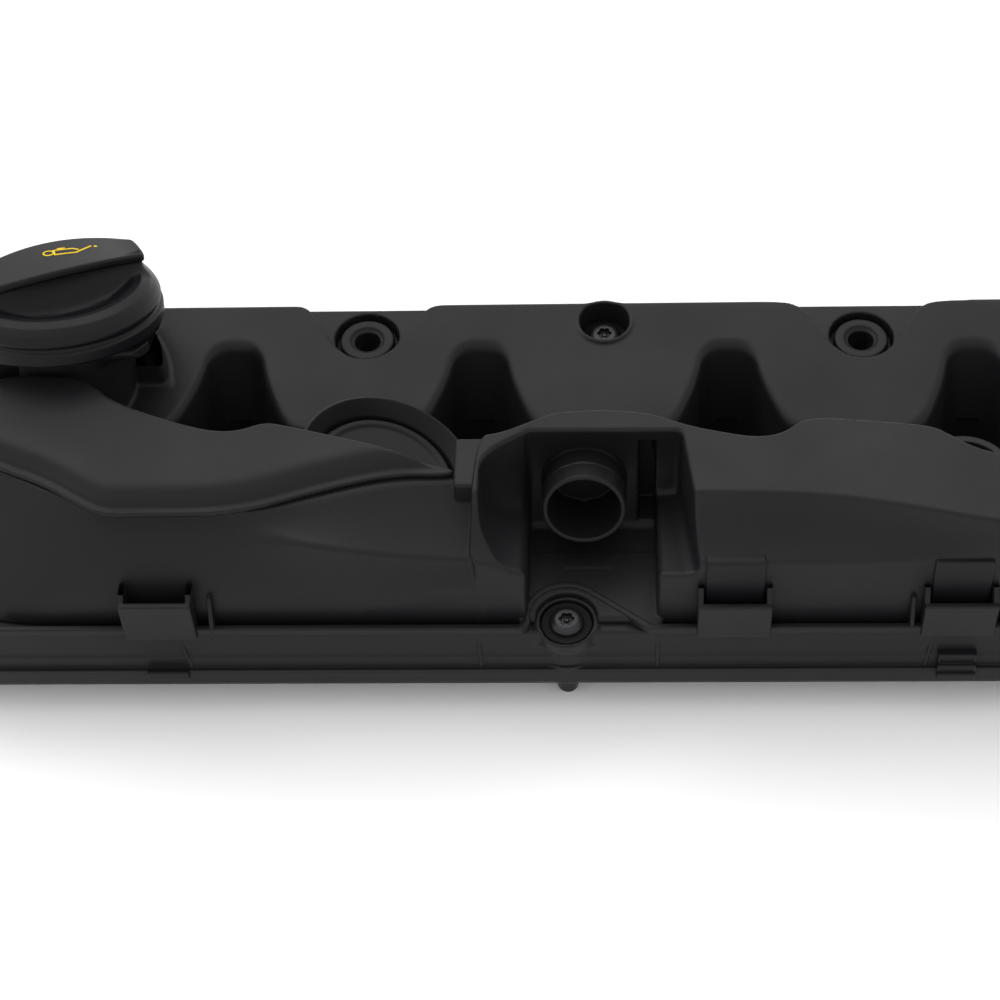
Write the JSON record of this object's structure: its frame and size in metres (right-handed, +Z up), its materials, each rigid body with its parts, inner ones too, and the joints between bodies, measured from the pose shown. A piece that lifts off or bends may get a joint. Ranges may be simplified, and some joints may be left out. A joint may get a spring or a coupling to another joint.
{
  "type": "cylinder head cover",
  "caption": "Moulded cylinder head cover with a raised oil separator chamber, tilted breather pipe, round breather valve and a screwed oil filler cap.",
  "frame": {"origin": "on the sealing face, midway between the two middle cylinders, at the face of the locating pad", "axes": "+X along the row of cylinders, -Y to the side the breather pipe points to, +Z up out of the engine"},
  "size_m": [0.464, 0.1506, 0.1124],
  "materials": {
    "cover_plastic": "fine moulded grain",
    "cap_plastic": "satin",
    "inner_plastic": "satin",
    "seal_rubber": "matt",
    "bolt_steel": "dark phosphated",
    "spring_steel": "plain",
    "symbol_yellow": "printed"
  },
  "bodies": {
    "cover": {"base_cover": "cover_plastic", "separator_housing": "cover_plastic", "duct_lid": "cover_plastic", "breather_pipe": "cover_plastic", "baffle_plate": "inner_plastic", "cyclone_block": "inner_plastic", "drain_valve": "seal_rubber", "valve_cup": "inner_plastic", "valve_spring": "spring_steel", "valve_diaphragm": "seal_rubber", "valve_cap": "cover_plastic", "relief_cap": "cover_plastic", "harness_loops": "cover_plastic", "snap_tongues": "inner_plastic", "gasket_clips": "inner_plastic", "perimeter_gasket": "seal_rubber", "injector_seals": "seal_rubber", "mount_bushes": "inner_plastic", "front_sleeves": "bolt_steel", "rear_sleeves": "bolt_steel", "bolt_grommets": "seal_rubber", "front_bolts": "bolt_steel", "rear_bolts": "bolt_steel", "end_bolts": "bolt_steel", "filler_neck": "cover_plastic"},
    "valve_plate_body": {"valve_plate": "spring_steel"},
    "cap_ring": {"cap_seal": "seal_rubber"},
    "cap": {"oil_cap": "cap_plastic", "cap_plug": "inner_plastic", "oil_symbol": "symbol_yellow"}
  },
  "joints": [
    {"name": "cap_lift", "type": "slide", "parent": "cover", "child": "cap_ring", "axis": [0, 0.319, 0.9478], "range_m": [0, 0.0192]},
    {"name": "cap_turn", "type": "hinge", "parent": "cap_ring", "child": "cap", "pos_m": [-0.188, 0.027, 0.077], "axis": [0, 0.319, 0.9478], "range_deg": [0, 570]},
    {"name": "valve_travel", "type": "slide", "parent": "cover", "child": "valve_plate_body", "axis": [0.342, 0, 0.9397], "range_m": [-0.003, 0], "stiffness_N_per_m": 200, "springref_m": 0.002, "deforming": ["valve_spring", "valve_diaphragm"]}
  ],
  "couplings": [
    {"joint": "cap_lift", "follows": "cap_turn", "m_per_rad": 0.0019099}
  ]
}
